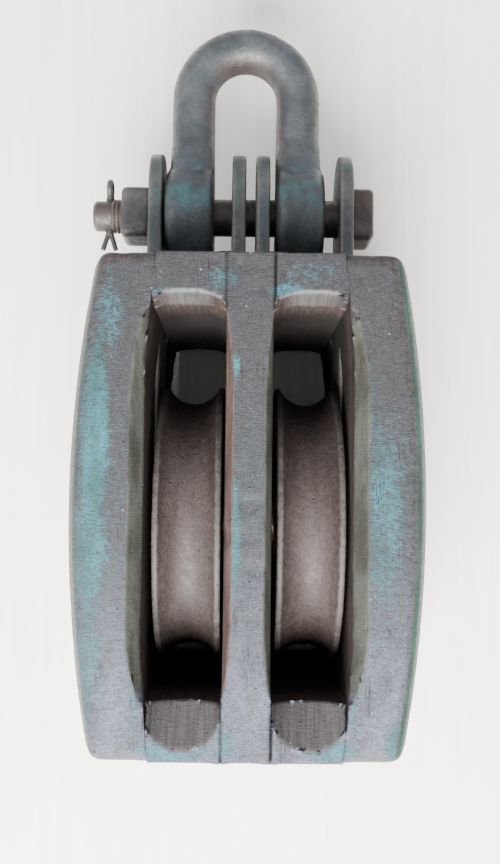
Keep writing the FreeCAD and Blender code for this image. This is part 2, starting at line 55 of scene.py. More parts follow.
# ---- Places read from the frame ------------------------------------------------------------------
def node_box(node):
    low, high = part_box(node)
    return np.array(low), np.array(high)


shell_low = np.minimum(node_box("cheek_left")[0], node_box("cheek_right")[0])
shell_high = np.maximum(node_box("cheek_left")[1], node_box("cheek_right")[1])
shell_mid = (shell_low + shell_high) / 2
FRONT_Z = shell_high[2]


# ---- Smooth repeatable noise ---------------------------------------------------------------------
def lattice(cell, seed):
    """A fixed value from -1 to 1 for each whole-number cell."""
    mixed = cell[:, 0] * 374761393 + cell[:, 1] * 668265263 + cell[:, 2] * 362437 + seed * 974634777
    mixed = (mixed ^ (mixed >> 13)) & 0x7FFFFFFF
    mixed = (mixed * 1274126177) & 0x7FFFFFFF
    mixed = mixed ^ (mixed >> 16)
    return (mixed & 0xFFFF) / 32767.5 - 1.0


def noise(points, size, seed):
    """Noise from -1 to 1 whose lumps are about size across; size may differ by axis."""
    scaled = points / np.asarray(size, float)
    cell = np.floor(scaled).astype(np.int64)
    part = scaled - cell
    part = part * part * (3 - 2 * part)
    total = np.zeros(len(points))
    for corner in range(8):
        step = np.array([corner & 1, corner >> 1 & 1, corner >> 2 & 1])
        weight = np.prod(np.where(step, part, 1 - part), axis=1)
        total += weight * lattice(cell + step, seed)
    return total


def layered(points, size, seed, layers=3):
    """Noise with finer and fainter layers added."""
    total = np.zeros(len(points))
    reach = 0.0
    for layer in range(layers):
        share = 0.5 ** layer
        total += share * noise(points, np.asarray(size, float) * share, seed + layer * 17)
        reach += share
    return total / reach


def ramp01(value, low, high):
    """0 below low, 1 above high, smooth between."""
    t = np.clip((value - low) / (high - low), 0, 1)
    return t * t * (3 - 2 * t)


# ---- Mesh helpers --------------------------------------------------------------------------------
def new_object(name, mesh):
    piece = bpy.data.objects.new(name, mesh)
    bpy.context.scene.collection.objects.link(piece)
    return piece


def vertex_array(mesh):
    points = np.empty(len(mesh.vertices) * 3, np.float32)
    mesh.vertices.foreach_get("co", points)
    return points.reshape(-1, 3).astype(float)


def normal_array(mesh):
    normals = np.empty(len(mesh.vertices) * 3, np.float32)
    mesh.vertex_normals.foreach_get("vector", normals)
    return normals.reshape(-1, 3).astype(float)


def edge_array(mesh):
    edges = np.empty(len(mesh.edges) * 2, np.int32)
    mesh.edges.foreach_get("vertices", edges)
    return edges.reshape(-1, 2)


def set_points(mesh, points):
    mesh.vertices.foreach_set("co", points.astype(np.float32).ravel())
    mesh.update()


def neighbour_mean(values, edges):
    """Each vertex's mean over its neighbours, for one column or several."""
    values = values.reshape(len(values), -1)
    both = np.concatenate([edges, edges[:, ::-1]])
    count = np.bincount(both[:, 0], minlength=len(values))
    columns = [np.bincount(both[:, 0], values[both[:, 1], c], len(values)) for c in range(values.shape[1])]
    return np.stack(columns, 1) / np.maximum(count, 1)[:, None]


def relax(values, edges, steps, amount=0.5):
    for _ in range(steps):
        mean = neighbour_mean(values, edges).reshape(values.shape)
        values = values + (mean - values) * amount
    return values


def store(mesh, name, values):
    """Keep values on the vertices under name, for the materials to read."""
    kind, key = ("FLOAT", "value") if values.ndim == 1 else ("FLOAT_VECTOR", "vector")
    layer = mesh.attributes.new(name, kind, "POINT")
    layer.data.foreach_set(key, values.astype(np.float32).ravel())


SHARP_ANGLE = math.radians(28)


def sharp_points(shape, spacing):
    """Points along the sharp edges of a welded CAD mesh."""
    found = []
    for edge in shape.edges:
        if len(edge.link_faces) == 2 and edge.calc_face_angle() > SHARP_ANGLE:
            a, b = edge.verts[0].co, edge.verts[1].co
            count = max(1, int((b - a).length / spacing))
            found += [a.lerp(b, step / count) for step in range(count + 1)]
    return found


def even_copy(node, name, voxel):
    """A copy of a CAD node with an even, fine mesh that still follows its faces and sharp edges."""
    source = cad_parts[node].data
    rough = new_object(name + "_source", source.copy())
    modifier = rough.modifiers.new("even", "REMESH")
    modifier.mode = "VOXEL"
    modifier.voxel_size = voxel
    ready = rough.evaluated_get(bpy.context.evaluated_depsgraph_get())
    mesh = bpy.data.meshes.new_from_object(ready)
    bpy.data.objects.remove(rough)
    mesh.materials.clear()

    shape = bmesh.new()
    shape.from_mesh(source)
    bmesh.ops.remove_doubles(shape, verts=shape.verts, dist=0.002 * MM)
    surface = BVHTree.FromBMesh(shape)
    corners = sharp_points(shape, voxel * 0.2)
    shape.free()
    tree = KDTree(max(1, len(corners)))
    for i, corner in enumerate(corners):
        tree.insert(corner, i)
    tree.balance()
    points = vertex_array(mesh)
    for i, point in enumerate(points):
        near = surface.find_nearest(point)[0]
        if corners:
            corner, _, gap = tree.find(near)
            if gap < voxel * 0.62:
                near = corner
        points[i] = near
    set_points(mesh, points)
    return new_object(name, mesh)


def outward_bend(mesh, points, edges, voxel):
    """How far each vertex is on an outer edge (1) or in a corner (-1)."""
    normals = normal_array(mesh)
    lap = neighbour_mean(points, edges) - points
    bend = -np.einsum("ij,ij->i", lap, normals) / voxel
    return np.clip(relax(bend, edges, 2) * 9.0, -1, 1)


def finish_piece(piece, body, material, nodes):
    piece.data.materials.clear()
    piece.data.materials.append(material)
    piece.data.polygons.foreach_set("use_smooth", [True] * len(piece.data.polygons))
    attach(piece, body)
    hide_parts(*nodes)
    return piece


# ---- Material helpers ----------------------------------------------------------------------------
def colour(red, green, blue):
    """A colour given as 0 to 255 screen values, turned into the shader's linear ones."""
    def linear(v):
        v /= 255
        return v / 12.92 if v <= 0.04045 else ((v + 0.055) / 1.055) ** 2.4
    return (linear(red), linear(green), linear(blue), 1.0)


class Paint:
    """A short way to write a node material: each method adds one node and returns its output."""

    def __init__(self, name):
        self.material = bpy.data.materials.new(name)
        self.material.use_nodes = True
        self.tree = self.material.node_tree
        self.shader = self.tree.nodes["Principled BSDF"]
        self.place = self.node("ShaderNodeTexCoord").outputs["Object"]

    def node(self, kind, **settings):
        made = self.tree.nodes.new(kind)
        for key, value in settings.items():
            setattr(made, key, value)
        return made

    def feed(self, socket, value):
        if isinstance(value, bpy.types.NodeSocket):
            self.tree.links.new(value, socket)
        else:
            socket.default_value = value

    def stretch(self, place, scale):
        made = self.node("ShaderNodeVectorMath", operation="MULTIPLY")
        self.feed(made.inputs[0], place)
        made.inputs[1].default_value = scale
        return made.outputs[0]

    def noise(self, size_mm, detail=3.0, rough=0.55, place=None, seed=0.0, warp=0.0):
        """Noise from 0 to 1; size_mm is one lump's size, or three sizes along X, Y and Z."""
        sizes = size_mm if isinstance(size_mm, tuple) else (size_mm,) * 3
        where = self.stretch(place or self.place, tuple(1 / (s * MM) for s in sizes))
        shift = self.node("ShaderNodeVectorMath", operation="ADD")
        self.feed(shift.inputs[0], where)
        shift.inputs[1].default_value = (seed * 7.3, seed * 3.1, seed * 5.7)
        made = self.node("ShaderNodeTexNoise")
        self.feed(made.inputs["Vector"], shift.outputs[0])
        made.inputs["Scale"].default_value = 1.0
        made.inputs["Detail"].default_value = detail
        made.inputs["Roughness"].default_value = rough
        made.inputs["Distortion"].default_value = warp
        return made.outputs["Fac"]

    def cells(self, size_mm, seed=0.0):
        """Distance to the nearest of many scattered points, 0 at a point."""
        where = self.stretch(self.place, (1 / (size_mm * MM),) * 3)
        shift = self.node("ShaderNodeVectorMath", operation="ADD")
        self.feed(shift.inputs[0], where)
        shift.inputs[1].default_value = (seed, seed * 2, seed * 3)
        made = self.node("ShaderNodeTexVoronoi")
        self.feed(made.inputs["Vector"], shift.outputs[0])
        made.inputs["Scale"].default_value = 1.0
        return made.outputs["Distance"]

    def attribute(self, name, vector=False):
        made = self.node("ShaderNodeAttribute", attribute_name=name)
        return made.outputs["Vector" if vector else "Fac"]

    def axis(self, vector, index):
        made = self.node("ShaderNodeSeparateXYZ")
        self.feed(made.inputs[0], vector)
        return made.outputs[index]

    def range(self, value, low, high, start=0.0, end=1.0):
        """Map low..high to start..end, smooth and clamped."""
        made = self.node("ShaderNodeMapRange", interpolation_type="SMOOTHSTEP")
        self.feed(made.inputs["Value"], value)
        made.inputs["From Min"].default_value = low
        made.inputs["From Max"].default_value = high
        made.inputs["To Min"].default_value = start
        made.inputs["To Max"].default_value = end
        return made.outputs["Result"]

    def maths(self, operation, a, b=0.0, clamp=False):
        made = self.node("ShaderNodeMath", operation=operation, use_clamp=clamp)
        self.feed(made.inputs[0], a)
        self.feed(made.inputs[1], b)
        return made.outputs[0]

    def mix(self, share, a, b, blend="MIX"):
        made = self.node("ShaderNodeMix", data_type="RGBA", blend_type=blend)
        self.feed(made.inputs["Factor"], share)
        self.feed(made.inputs[6], a)
        self.feed(made.inputs[7], b)
        return made.outputs[2]

    def bump(self, height, depth_mm, normal=None):
        made = self.node("ShaderNodeBump")
        made.inputs["Strength"].default_value = 1.0
        made.inputs["Distance"].default_value = depth_mm * MM
        self.feed(made.inputs["Height"], height)
        if normal is not None:
            self.feed(made.inputs["Normal"], normal)
        return made.outputs[0]

    def finish(self, base, roughness, normal=None, metallic=0.0, specular=0.5):
        self.feed(self.shader.inputs["Base Color"], base)
        self.feed(self.shader.inputs["Roughness"], roughness)
        self.shader.inputs["Metallic"].default_value = metallic
        self.shader.inputs["Specular IOR Level"].default_value = specular
        if normal is not None:
            self.feed(self.shader.inputs["Normal"], normal)
        return self.material


# ---- Materials -----------------------------------------------------------------------------------
def weathered_wood(name, cracked=False):
    """Grey old paint over wood, with turquoise and green remnants, bare wood where rope and hands wear it."""
    p = Paint(name)
    turquoise_zone = p.attribute("turquoise")
    green_zone = p.attribute("green")
    wall = p.attribute("wall")
    facet = p.attribute("facet")
    bevel = p.attribute("bevel")
    warm = p.attribute("warm")
    tail_pale_and_lit = p.attribute("pale")
    edge = p.attribute("edge")
    line = p.attribute("line")
    seam = p.attribute("seam")

    grain = p.noise((1.3, 30.0, 16.0), 4.0, 0.6, warp=0.25)
    fibre = p.noise((0.35, 9.0, 4.0), 2.0, 0.5, seed=2)
    ripple = p.noise((3.2, 0.55, 3.2), 3.0, 0.6, seed=3, warp=0.6)
    blotch = p.noise((11.0, 24.0, 11.0), 4.0, 0.55, seed=4)
    mottle = p.noise(2.2, 5.0, 0.7, seed=5)
    fine = p.noise(0.5, 3.0, 0.6, seed=6)

    # Old grey paint film, pale and bluish towards the tail. The change from dark at the crown to light at the
    # tail is partly painted light: it is lighter where the lamp falls on the tail end and darker in shade at
    # the crown.
    film = p.mix(tail_pale_and_lit, colour(38, 37, 37), colour(86, 88, 102))
    film = p.mix(p.range(blotch, 0.38, 0.62, 0.0, 0.55), film, colour(46, 41, 44))
    film = p.mix(p.range(mottle, 0.32, 0.62, 0.55, 0.0), film, colour(26, 27, 31))
    film = p.mix(p.range(ripple, 0.48, 0.68, 0.0, 0.45), film, colour(38, 38, 42))
    film = p.mix(p.range(fine, 0.56, 0.72, 0.0, 0.30), film, colour(108, 112, 118))

    # Turquoise remnants fade in patches and break up along the brush lines.
    streaky = p.maths("ADD", p.maths("MULTIPLY", ripple, 0.6), p.maths("MULTIPLY", fine, 0.4))
    broken = p.maths("ADD", p.maths("MULTIPLY", mottle, 0.45), p.maths("MULTIPLY", streaky, 0.55))
    breaks = p.maths("SUBTRACT", broken, 0.5)
    turquoise_here = p.maths("ADD", turquoise_zone, p.maths("MULTIPLY", breaks, 4.4))
    turquoise_here = p.range(turquoise_here, 0.26, 1.15)
    turquoise = p.mix(p.range(blotch, 0.3, 0.7), colour(22, 66, 66), colour(46, 98, 108))
    turquoise = p.mix(p.range(fine, 0.42, 0.66, 0.0, 0.5), turquoise, colour(30, 48, 58))
    film = p.mix(p.maths("MULTIPLY", turquoise_here, 0.92), film, turquoise)

    # Green coat on the rounded sides.
    green_here = p.maths("ADD", green_zone, p.maths("MULTIPLY", breaks, 1.6))
    green_here = p.range(green_here, 0.35, 0.75)
    green = p.mix(p.range(blotch, 0.3, 0.7), colour(18, 46, 38), colour(32, 70, 58))
    green = p.mix(p.range(mottle, 0.60, 0.72, 0.0, 0.7), green, colour(34, 46, 42))
    film = p.mix(green_here, film, green)
    grit = p.noise(1.1, 4.0, 0.7, seed=8)
    film = p.mix(p.range(grit, 0.48, 0.62, 0.0, 0.5), film, colour(24, 25, 28))

    # Red primer and rubbed wood along the outer edges.
    rubbed = p.maths("MULTIPLY", p.range(edge, 0.10, 0.6), p.range(mottle, 0.38, 0.62))
    film = p.mix(p.maths("MULTIPLY", rubbed, 0.7), film, colour(60, 45, 45))

    # Bevels: a smooth olive coat, or warm bare wood where it has gone.
    olive = p.mix(p.range(blotch, 0.35, 0.65), colour(42, 42, 37), colour(60, 62, 56))
    bare_warm = p.mix(p.range(grain, 0.3, 0.7), colour(50, 38, 35), colour(80, 64, 59))
    slope = p.mix(p.range(p.maths("ADD", warm, p.maths("SUBTRACT", mottle, 0.5)), 0.3, 0.7), olive, bare_warm)
    film = p.mix(bevel, film, slope)

    # Worn facets of the rope's way: grey-tan wood with dark grain. The steep mortise walls get a dark brown
    # wood colour that is mostly painted shade.
    tan = p.mix(p.range(grain, 0.26, 0.72), colour(62, 58, 58), colour(80, 77, 78))
    tan = p.mix(p.range(grain, 0.28, 0.20, 0.0, 0.3), tan, colour(36, 31, 30))
    film = p.mix(facet, film, tan)
    # Painted shade: the mortise walls are coloured near black for the shade inside the block, over a
    # bare-wood grain.
    dark = p.mix(p.range(grain, 0.3, 0.7), colour(28, 23, 21), colour(52, 41, 36))
    base = p.mix(wall, film, dark)
    # Painted shade: the mortise walls turn almost black deeper inside the block.
    base = p.mix(p.maths("MULTIPLY", p.attribute("deep_shade"), 0.88), base, colour(12, 10, 10))
    base = p.mix(p.maths("MULTIPLY", seam, 0.85), base, colour(16, 14, 14))
    line_here = p.maths("MULTIPLY", line, p.range(mottle, 0.36, 0.6))
    base = p.mix(p.maths("MULTIPLY", line_here, 0.4), base, colour(84, 102, 100))

    # Small white specks, dark pits and drying checks along the grain.
    speck = p.cells(4.6, 1.0)
    pit = p.cells(7.0, 4.0)
    outside = p.maths("SUBTRACT", 1.0, wall)
    speck_here = p.maths("MULTIPLY", p.range(speck, 0.11, 0.05), p.range(blotch, 0.48, 0.6))
    speck_here = p.maths("MULTIPLY", speck_here, outside)
    pit_here = p.maths("MULTIPLY", p.range(pit, 0.09, 0.04), p.range(mottle, 0.42, 0.55))
    base = p.mix(p.maths("MULTIPLY", speck_here, 0.6), base, colour(128, 130, 128))
    base = p.mix(p.maths("MULTIPLY", pit_here, 0.8), base, colour(26, 23, 22))
    check = p.noise((1.1, 70.0, 1.1), 2.0, 0.5, seed=9, warp=0.15)
    check_here = p.range(p.maths("ABSOLUTE", p.maths("SUBTRACT", check, 0.5)), 0.010, 0.002)
    check_here = p.maths("MULTIPLY", check_here, p.range(blotch, 0.56, 0.66))
    base = p.mix(p.maths("MULTIPLY", check_here, 0.6), base, colour(30, 26, 25))

    height = p.maths("ADD", p.maths("MULTIPLY", grain, 0.3), p.maths("MULTIPLY", ripple, 0.42))
    height = p.maths("ADD", height, p.maths("MULTIPLY", mottle, 0.6))
    height = p.maths("ADD", height, p.maths("MULTIPLY", p.maths("ADD", turquoise_here, green_here), 0.14))
    height = p.maths("SUBTRACT", height, p.maths("MULTIPLY", p.maths("ADD", pit_here, check_here), 0.6))
    if cracked:
        # A pale hairline crack that slants across the tail end of the partition.
        x = p.axis(p.place, 0)
        y = p.axis(p.place, 1)
        wander = p.maths("MULTIPLY", p.maths("SUBTRACT", p.noise(6.0, 2.0, 0.5, seed=12), 0.5), 2.6 * MM)
        slant = p.maths("SUBTRACT", p.maths("MULTIPLY", y, -0.165), 10.6 * MM)
        away = p.maths("ABSOLUTE", p.maths("ADD", p.maths("SUBTRACT", x, slant), wander))
        crack = p.maths("MULTIPLY", p.range(away, 0.30 * MM, 0.08 * MM), p.range(y, -56 * MM, -62 * MM))
        crack = p.maths("MULTIPLY", crack, p.range(mottle, 0.34, 0.5))
        base = p.mix(p.maths("MULTIPLY", crack, 0.4), base, colour(138, 128, 116))
        height = p.maths("SUBTRACT", height, p.maths("MULTIPLY", crack, 0.8))
    normal = p.bump(height, 0.42)
    normal = p.bump(p.maths("ADD", fine, fibre), 0.08, normal)
    roughness = p.range(mottle, 0.3, 0.7, 0.48, 0.66)
    roughness = p.maths("ADD", roughness, p.maths("MULTIPLY", wall, 0.2), clamp=True)
    return p.finish(base, roughness, normal, specular=0.24)


def old_iron(name, dark, light, rust, paint_amount, metallic=0.2):
    """Forged iron under thin old paint: brown rust, grey scale, green and turquoise left in places."""
    p = Paint(name)
    edge = p.attribute("edge")
    touch = p.attribute("turquoise")
    worn = p.attribute("worn")
    broad = p.noise(13.0, 4.0, 0.55, seed=1, warp=0.4)
    mottle = p.noise(2.8, 5.0, 0.65, seed=2)
    fine = p.noise(0.5, 3.0, 0.6, seed=3)
    base = p.mix(p.range(broad, 0.32, 0.68), dark, light)
    base = p.mix(p.range(mottle, 0.45, 0.65, 0.0, 0.55), base, colour(34, 33, 33))
    rust_here = p.maths("ADD", p.maths("MULTIPLY", mottle, 0.5), p.maths("MULTIPLY", broad, 0.5))
    rust_here = p.maths("ADD", rust_here, p.maths("MULTIPLY", worn, 0.35))
    rust_here = p.range(rust_here, 0.46, 0.74)
    base = p.mix(p.maths("MULTIPLY", rust_here, rust), base, colour(58, 43, 38))
    paint_here = p.maths("ADD", p.maths("MULTIPLY", p.noise(9.0, 4.0, 0.6, seed=7), 0.6),
                         p.maths("MULTIPLY", mottle, 0.4))
    green = p.mix(p.range(mottle, 0.35, 0.65), colour(38, 54, 51), colour(52, 74, 71))
    base = p.mix(p.maths("MULTIPLY", p.range(paint_here, 0.44, 0.7), paint_amount), base, green)
    breaks = p.maths("MULTIPLY", p.maths("SUBTRACT", mottle, 0.5), 2.2)
    touch_here = p.range(p.maths("ADD", touch, breaks), 0.1, 1.2)
    blue = p.mix(p.range(fine, 0.4, 0.6), colour(40, 76, 78), colour(58, 98, 104))
    base = p.mix(p.maths("MULTIPLY", touch_here, 0.8), base, blue)
    base = p.mix(p.maths("MULTIPLY", p.range(edge, 0.2, 0.8), 0.3), base, colour(96, 88, 80))
    pit = p.cells(4.2, 2.0)
    pit_here = p.maths("MULTIPLY", p.range(pit, 0.16, 0.06), p.range(broad, 0.46, 0.6))
    base = p.mix(p.maths("MULTIPLY", pit_here, 0.6), base, colour(28, 24, 22))
    height = p.maths("ADD", p.maths("MULTIPLY", mottle, 0.9), p.maths("MULTIPLY", touch_here, 0.2))
    height = p.maths("SUBTRACT", height, p.maths("MULTIPLY", pit_here, 0.7))
    normal = p.bump(height, 0.32)
    normal = p.bump(fine, 0.08, normal)
    roughness = p.range(mottle, 0.3, 0.7, 0.34, 0.56)
    return p.finish(base, roughness, normal, metallic, 0.5)


def cast_sheave(name):
    """Brown-mauve cast iron, streaked round the wheel by the rope, a little greyer on its rims."""
    p = Paint(name)
    polar = p.attribute("polar", vector=True)
    rim = p.attribute("rim")
    edge = p.attribute("edge")
    track = p.attribute("track")
    streak = p.noise((22.0, 2.2, 4.0), 4.0, 0.6, place=polar, seed=1)
    band = p.noise((46.0, 9.0, 12.0), 3.0, 0.5, place=polar, seed=2)
    mottle = p.noise(3.0, 5.0, 0.7, seed=3)
    fine = p.noise(0.55, 3.0, 0.65, seed=4)
    base = p.mix(p.range(band, 0.32, 0.68), colour(40, 32, 30), colour(52, 44, 42))
    base = p.mix(p.range(streak, 0.48, 0.74, 0.0, 0.4), base, colour(62, 45, 42))
    base = p.mix(p.range(mottle, 0.48, 0.72, 0.0, 0.5), base, colour(62, 54, 51))
    base = p.mix(p.range(fine, 0.52, 0.66, 0.0, 0.55), base, colour(38, 31, 29))
    base = p.mix(p.range(fine, 0.42, 0.30, 0.0, 0.35), base, colour(78, 69, 65))
    grit = p.noise(1.4, 4.0, 0.7, seed=6)
    base = p.mix(p.range(grit, 0.50, 0.62, 0.0, 0.6), base, colour(30, 24, 22))
    grey = p.mix(p.range(mottle, 0.35, 0.65), colour(44, 41, 39), colour(66, 62, 59))
    base = p.mix(p.maths("MULTIPLY", p.range(rim, 0.3, 0.8), 0.75), base, grey)
    base = p.mix(p.maths("MULTIPLY", p.range(edge, 0.3, 0.9), 0.3), base, colour(100, 94, 88))
    track_here = p.maths("MULTIPLY", track, p.range(mottle, 0.40, 0.58))
    base = p.mix(p.maths("MULTIPLY", track_here, 0.75), base, colour(40, 36, 36))
    pit = p.cells(5.4, 3.0)
    pit_here = p.maths("MULTIPLY", p.range(pit, 0.14, 0.06), p.range(mottle, 0.42, 0.55))
    base = p.mix(p.maths("MULTIPLY", pit_here, 0.7), base, colour(28, 24, 22))
    height = p.maths("ADD", p.maths("MULTIPLY", mottle, 0.7), p.maths("MULTIPLY", streak, 0.3))
    height = p.maths("SUBTRACT", height, p.maths("MULTIPLY", pit_here, 0.8))
    normal = p.bump(height, 0.24)
    normal = p.bump(grit, 0.16, normal)
    roughness = p.range(mottle, 0.3, 0.7, 0.52, 0.74)
    return p.finish(base, roughness, normal, 0.05, 0.3)


def dull_metal(name, dark, light, metallic, size_mm):
    """Oiled or tarnished metal for the small and inner pieces."""
    p = Paint(name)
    broad = p.noise(size_mm, 4.0, 0.6, seed=1)
    fine = p.noise(size_mm * 0.15, 3.0, 0.6, seed=2)
    base = p.mix(p.range(broad, 0.32, 0.68), dark, light)
    base = p.mix(p.range(fine, 0.56, 0.74, 0.0, 0.5), base, colour(44, 38, 32))
    normal = p.bump(p.maths("ADD", broad, fine), 0.08)
    return p.finish(base, p.range(broad, 0.3, 0.7, 0.35, 0.6), normal, metallic, 0.5)


def pale_board(name):
    """The plain floor: off-white paint with faint long brush lines."""
    p = Paint(name)
    lines = p.noise((5.0, 160.0, 5.0), 3.0, 0.5)
    cloud = p.noise(220.0, 2.0, 0.5, seed=1)
    base = p.mix(p.range(lines, 0.3, 0.7), colour(224, 220, 214), colour(232, 229, 223))
    base = p.mix(p.range(cloud, 0.3, 0.7, 0.0, 0.35), base, colour(236, 232, 227))
    return p.finish(base, 0.7, p.bump(lines, 0.12), specular=0.3)


wood = weathered_wood("weathered_wood")
cracked_wood = weathered_wood("weathered_wood_cracked", cracked=True)
strap_iron = old_iron("strap_iron", colour(52, 54, 54), colour(70, 74, 75), 0.5, 0.6)
shackle_iron = old_iron("shackle_iron", colour(44, 46, 48), colour(64, 67, 73), 0.6, 0.3)
nut_iron = old_iron("nut_iron", colour(50, 49, 50), colour(70, 69, 70), 0.5, 0.0)
bolt_iron = old_iron("bolt_iron", colour(52, 43, 40), colour(72, 64, 62), 1.0, 0.0)
sheave_iron = cast_sheave("sheave_iron")
bronze = dull_metal("bronze", colour(104, 80, 46), colour(150, 122, 74), 0.85, 4.0)
copper = dull_metal("copper", colour(84, 62, 50), colour(126, 92, 70), 0.7, 3.0)
pin_steel = dull_metal("pin_steel", colour(84, 82, 80), colour(128, 126, 122), 0.9, 5.0)


# ---- Wooden shell --------------------------------------------------------------------------------
WOOD_VOXEL = 1.3 * MM
WAVE_HEIGHT = 0.16 * MM
CHIP_DEPTH = 0.4 * MM
GRAIN_DEPTH = 0.14 * MM
KNOCK_DEPTH = 0.5 * MM
SKIN_WEAR = 0.16 * MM
RING_HEIGHT = 0.05 * MM
RING_PITCH = 0.75 * MM
RING_REACH = 0.022
RING_FROM_SIDE = 0.030          # middle of the rings from the left side of the shell
RING_BELOW_MIDDLE = 0.045
BAND_ROW = 4 * MM               # steps along the shell in which a cheek's fullest point is found
BAND_ROWS = 400
# Where turquoise paint is left on the front: X and Y from the middle of the shell, half width,
# half length (mm) and how much of it is left.
TURQUOISE_PATCHES = [
    (-62, 28, 7, 48, 1.0),
    (-57, 76, 8, 20, 0.55),
    (-63, -20, 8, 26, 0.8),
    (-64, -62, 7, 34, 0.55),
    (-44, -56, 3.5, 30, 0.6),
    (-41, 62, 3, 14, 0.6),
    (-7, 55, 3.5, 7, 1.0),
    (-6, -14, 3.5, 24, 0.9),
    (-8, -94, 6, 8, 0.55),
    (-31, 84, 11, 3.5, 0.8),
    (-12, 90, 8, 6, 0.5),
    (15, 86, 9, 3.5, 0.8),
    (24, 93, 13, 5, 0.4),
    (-29, -97, 16, 4.5, 0.85),
    (33, -96, 12, 5, 0.9),
    (47, 30, 2.5, 34, 0.55),
    (54, -4, 9, 42, 0.5),
    (41, -74, 4, 14, 0.7),
    (59, -95, 5, 12, 0.75),
]


def patch_amount(points):
    """How much turquoise the patches leave at each point."""
    offset = (points - shell_mid) / MM
    total = np.zeros(len(points))
    for x, y, half_x, half_y, amount in TURQUOISE_PATCHES:
        reach = np.hypot((offset[:, 0] - x) / half_x, (offset[:, 1] - y) / half_y)
        total = np.maximum(total, amount * (1 - ramp01(reach, 0.35, 1.25)))
    return total


def ring_marks(points, centre, reach):
    """Shallow rings, like saw marks, round a place on the face."""
    away = np.hypot(points[:, 0] - centre[0], points[:, 1] - centre[1])
    return np.sin(away / RING_PITCH) * (1 - ramp01(away, reach * 0.5, reach))


def paint_zones(node, mesh, points, normals, inner_axis, warm, where):
    """Store where each coat of paint, each worn place and each seam lies on one wooden piece."""
    low = node_box(node)[0]
    edge, open_edge, seam = where["edge"], where["open_edge"], where["seam"]
    at_end, away_x = where["at_end"], where["away_x"]
    offset, faces_in = where["offset"], where["faces_in"]
    up = np.abs(normals[:, 2])
    wall = faces_in * (1 - ramp01(up, 0.12, 0.28))
    sloped = faces_in * ramp01(up, 0.12, 0.28) * (1 - at_end if inner_axis == 0 else 1)
    facet = sloped if inner_axis == 1 else np.zeros(len(points))
    bevel = sloped if inner_axis == 0 else np.zeros(len(points))
    front = ramp01(normals[:, 2], 0.35, 0.8)
    back = ramp01(-normals[:, 2], 0.35, 0.8)
    outer = ramp01(np.abs(normals[:, 0]), 0.28, 0.5) * (1 - faces_in) * (1 - seam)
    right = points[:, 0] > shell_mid[0]
    rows = np.minimum(((points[:, 1] - low[1]) / BAND_ROW).astype(int), BAND_ROWS)
    widest = np.zeros(BAND_ROWS + 1)
    np.maximum.at(widest, rows, np.abs(points[:, 0]))
    from_side = widest[rows] - np.abs(points[:, 0])
    band = (1 - ramp01(from_side, 4 * MM, 10 * MM)) * node.startswith("cheek") * (1 - back)
    turquoise = patch_amount(points) * np.maximum(front, 1 - back) * (1 - faces_in)
    turquoise = turquoise + outer * np.where(right, 0.1, 0.25) * ramp01(layered(points, 0.03, 5), -0.1, 0.5)
    tail_side = ramp01(-offset[:, 1], -70, -10)
    turquoise = turquoise + front * (1 - faces_in) * (0.10 + 0.20 * tail_side)
    turquoise = turquoise + back * 0.5 * ramp01(layered(points, 0.03, 8), 0.05, 0.5)
    store(mesh, "edge", open_edge)
    store(mesh, "turquoise", turquoise)
    store(mesh, "green", np.clip(outer + band, 0, 1) * np.where(right, 1.0, 0.42))
    store(mesh, "wall", wall)
    # Painted shade: how deep each point of a mortise wall lies inside the block, for darkening it there.
    depth = np.minimum(shell_high[2] - points[:, 2], points[:, 2] - shell_low[2])
    store(mesh, "deep_shade", faces_in * ramp01(depth, 0.016, 0.042))
    store(mesh, "facet", facet)
    store(mesh, "bevel", bevel)
    store(mesh, "warm", np.full(len(points), warm) if warm else ramp01(-offset[:, 0], -12, 12) * 0.9)
    crease = ramp01(edge, 0.1, 0.3) * faces_in * (1 - seam)
    store(mesh, "line", crease if node.startswith("crown") else np.zeros(len(points)))
    # Paler paint towards the tail, partly painted light from the lamp over the tail end.
    store(mesh, "pale", ramp01(-offset[:, 1], -5, 95))
    store(mesh, "seam", at_end * (1 - ramp01(away_x, 0.2 * MM, 0.9 * MM)) * (1 - faces_in))


